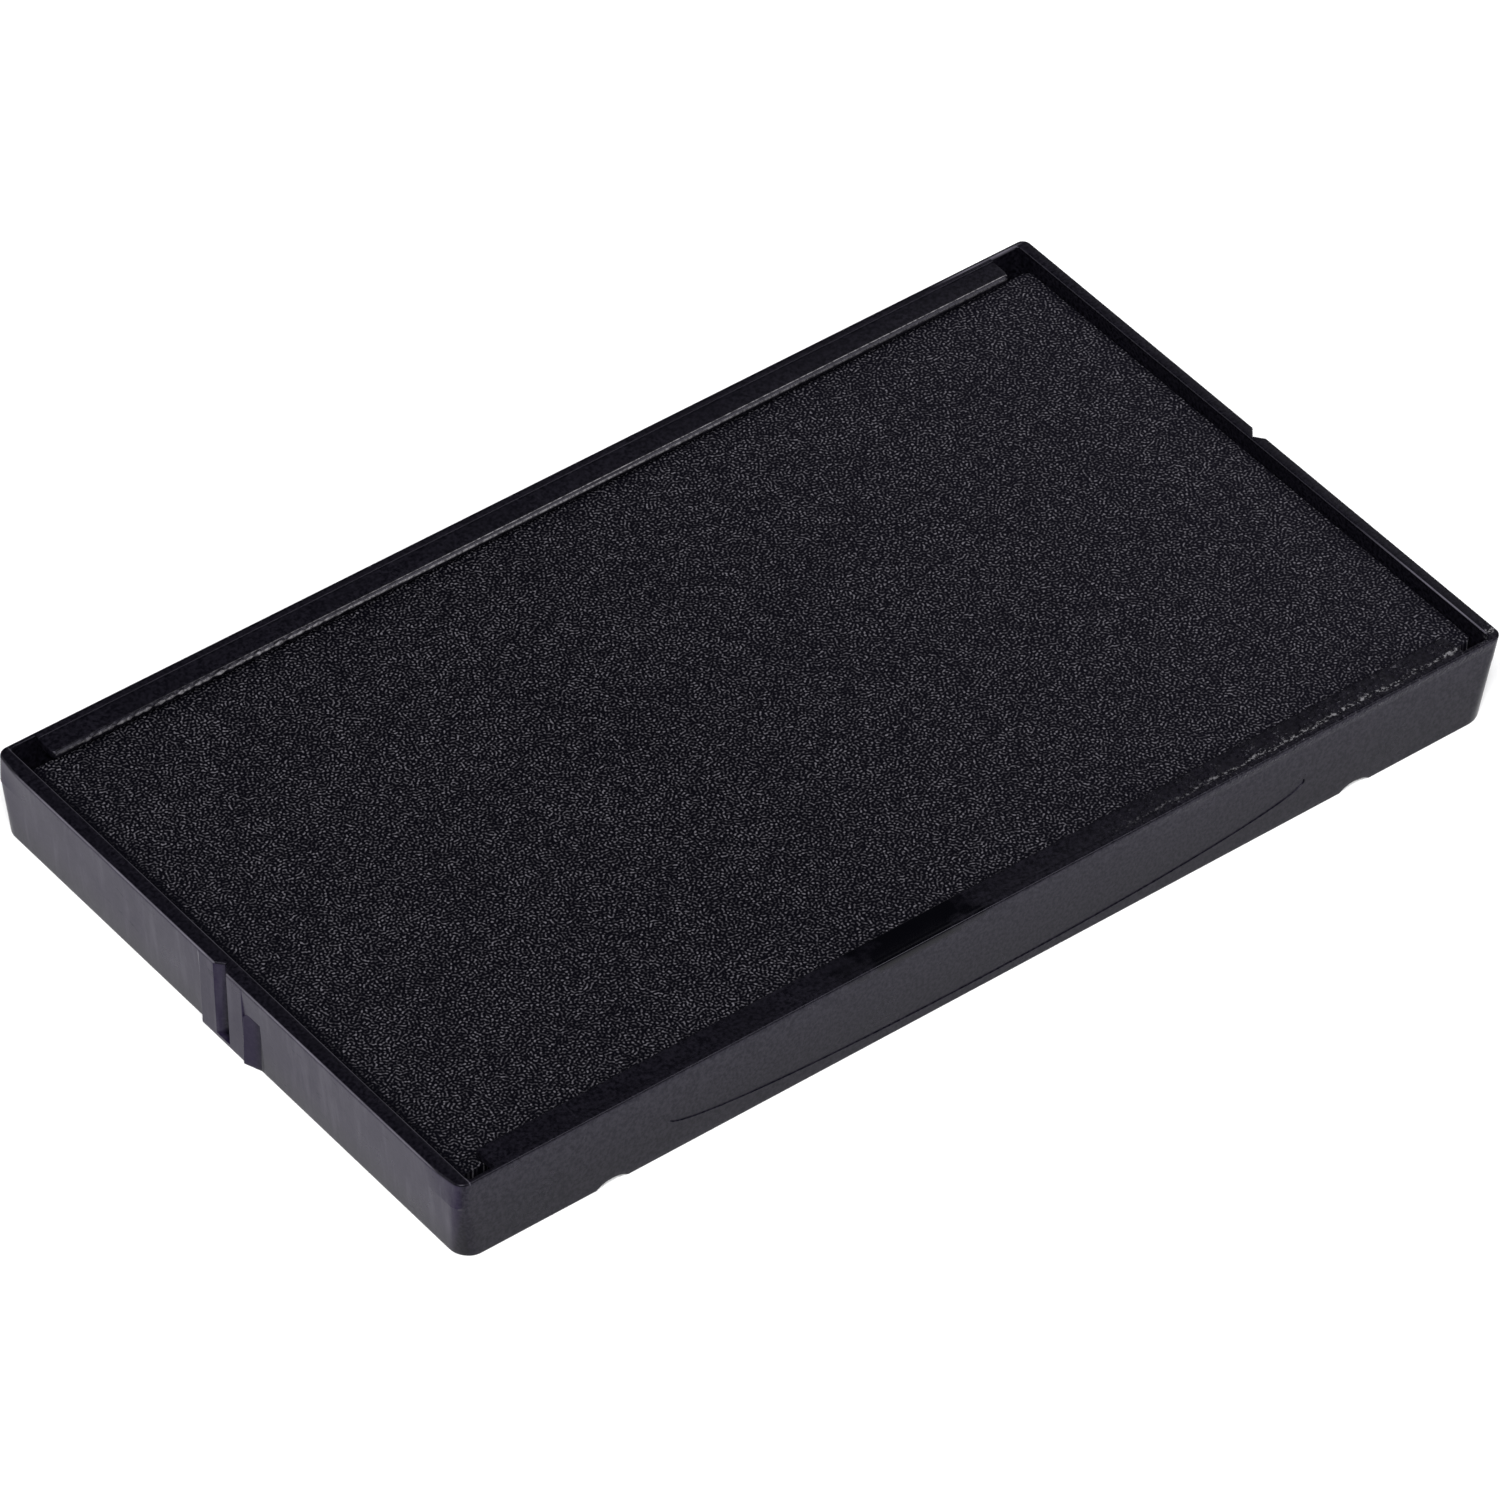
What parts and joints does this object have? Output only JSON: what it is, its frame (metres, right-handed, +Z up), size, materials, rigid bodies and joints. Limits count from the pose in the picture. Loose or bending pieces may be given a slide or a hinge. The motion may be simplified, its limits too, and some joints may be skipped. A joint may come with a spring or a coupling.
{
  "type": "ink pad",
  "caption": "Shallow rectangular tray with an absorbent inked pad held under lips along its long walls; slides into a self-inking stamp.",
  "frame": {"origin": "middle of the tray's outline, on the plane that its underside rests on", "axes": "+X along the length, +Y across the width, +Z up out of the open, inked side"},
  "size_m": [0.066, 0.0386, 0.0052],
  "materials": {
    "tray_plastic": "satin black moulding, lightly scratched",
    "pad_cloth": "fine-grained cloth soaked in black ink",
    "felt": "dense felt soaked in black ink"
  },
  "bodies": {
    "root": {"tray": "tray_plastic", "ink_reservoir": "felt", "pad_cover": "pad_cloth"}
  },
  "joints": []
}
